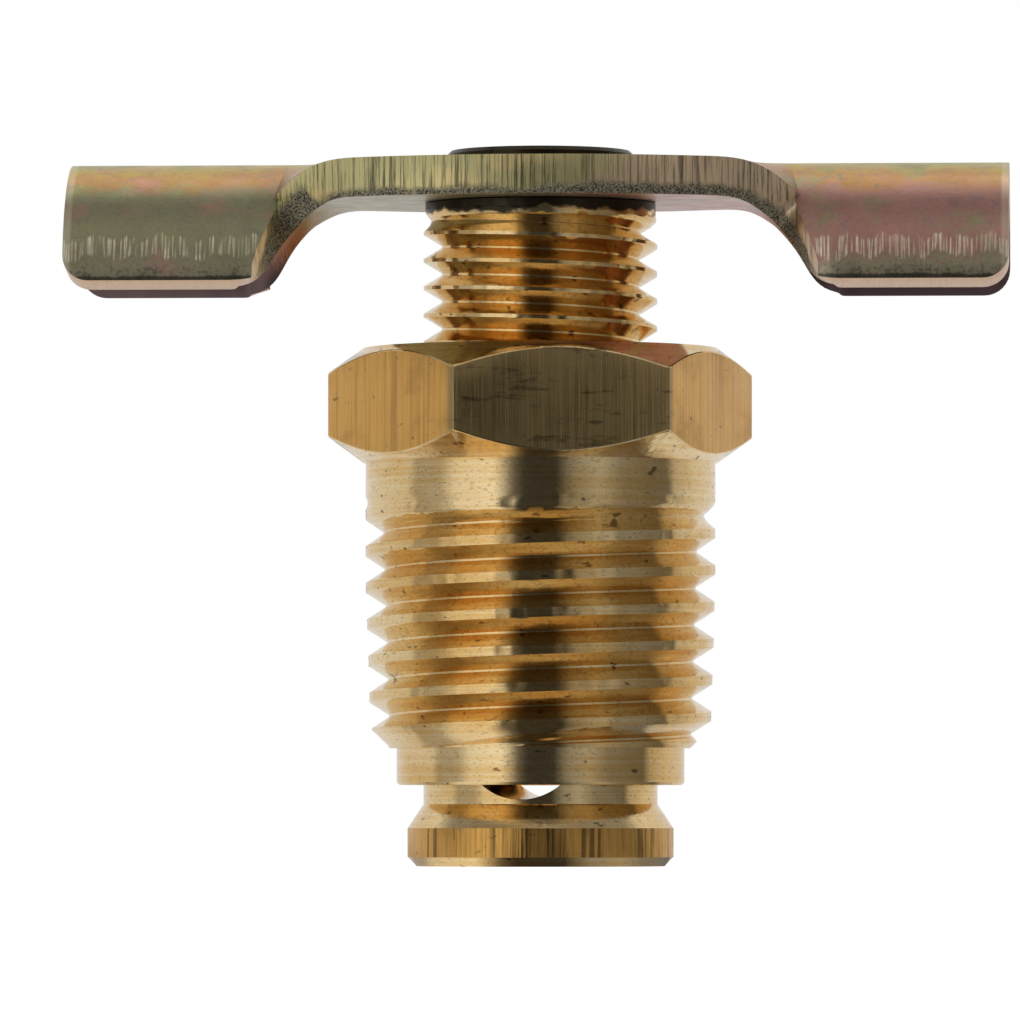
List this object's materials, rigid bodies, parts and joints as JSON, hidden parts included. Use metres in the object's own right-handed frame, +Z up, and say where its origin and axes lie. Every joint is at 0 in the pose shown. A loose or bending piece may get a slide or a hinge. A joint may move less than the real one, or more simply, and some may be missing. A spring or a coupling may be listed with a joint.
{
  "type": "drain cock",
  "caption": "Internal-seat drain cock: brass hexagon body with a tapered pipe thread, a hollow brass stem that screws through it to open the drain, and a pressed steel wing handle on top.",
  "frame": {"origin": "on the stem's axis, at the underside of the stem's disc, on which the part stands", "axes": "+Z up the stem to the handle, +X along the handle's wings"},
  "size_m": [0.0362, 0.0154, 0.0276],
  "materials": {
    "body_brass": "turned and drawn brass, bright",
    "stem_brass": "turned brass, bright",
    "chromate_steel": "zinc plate with iridescent yellow chromate"
  },
  "bodies": {
    "valve_body": {"valve_body": "body_brass"},
    "stem": {"stem": "stem_brass"},
    "wing_handle": {"wing_handle": "chromate_steel"}
  },
  "joints": [
    {"name": "stem_travel", "type": "slide", "parent": "valve_body", "child": "stem", "axis": [0, 0, 1], "range_m": [-0.00529, 0.00119]},
    {"name": "handle_turn", "type": "hinge", "parent": "stem", "child": "wing_handle", "pos_m": [0, 0, 0.0256], "axis": [0, 0, 1], "range_deg": [-405, 1800]}
  ],
  "couplings": [
    {"joint": "handle_turn", "follows": "stem_travel", "rad_per_m": -5936.9}
  ]
}
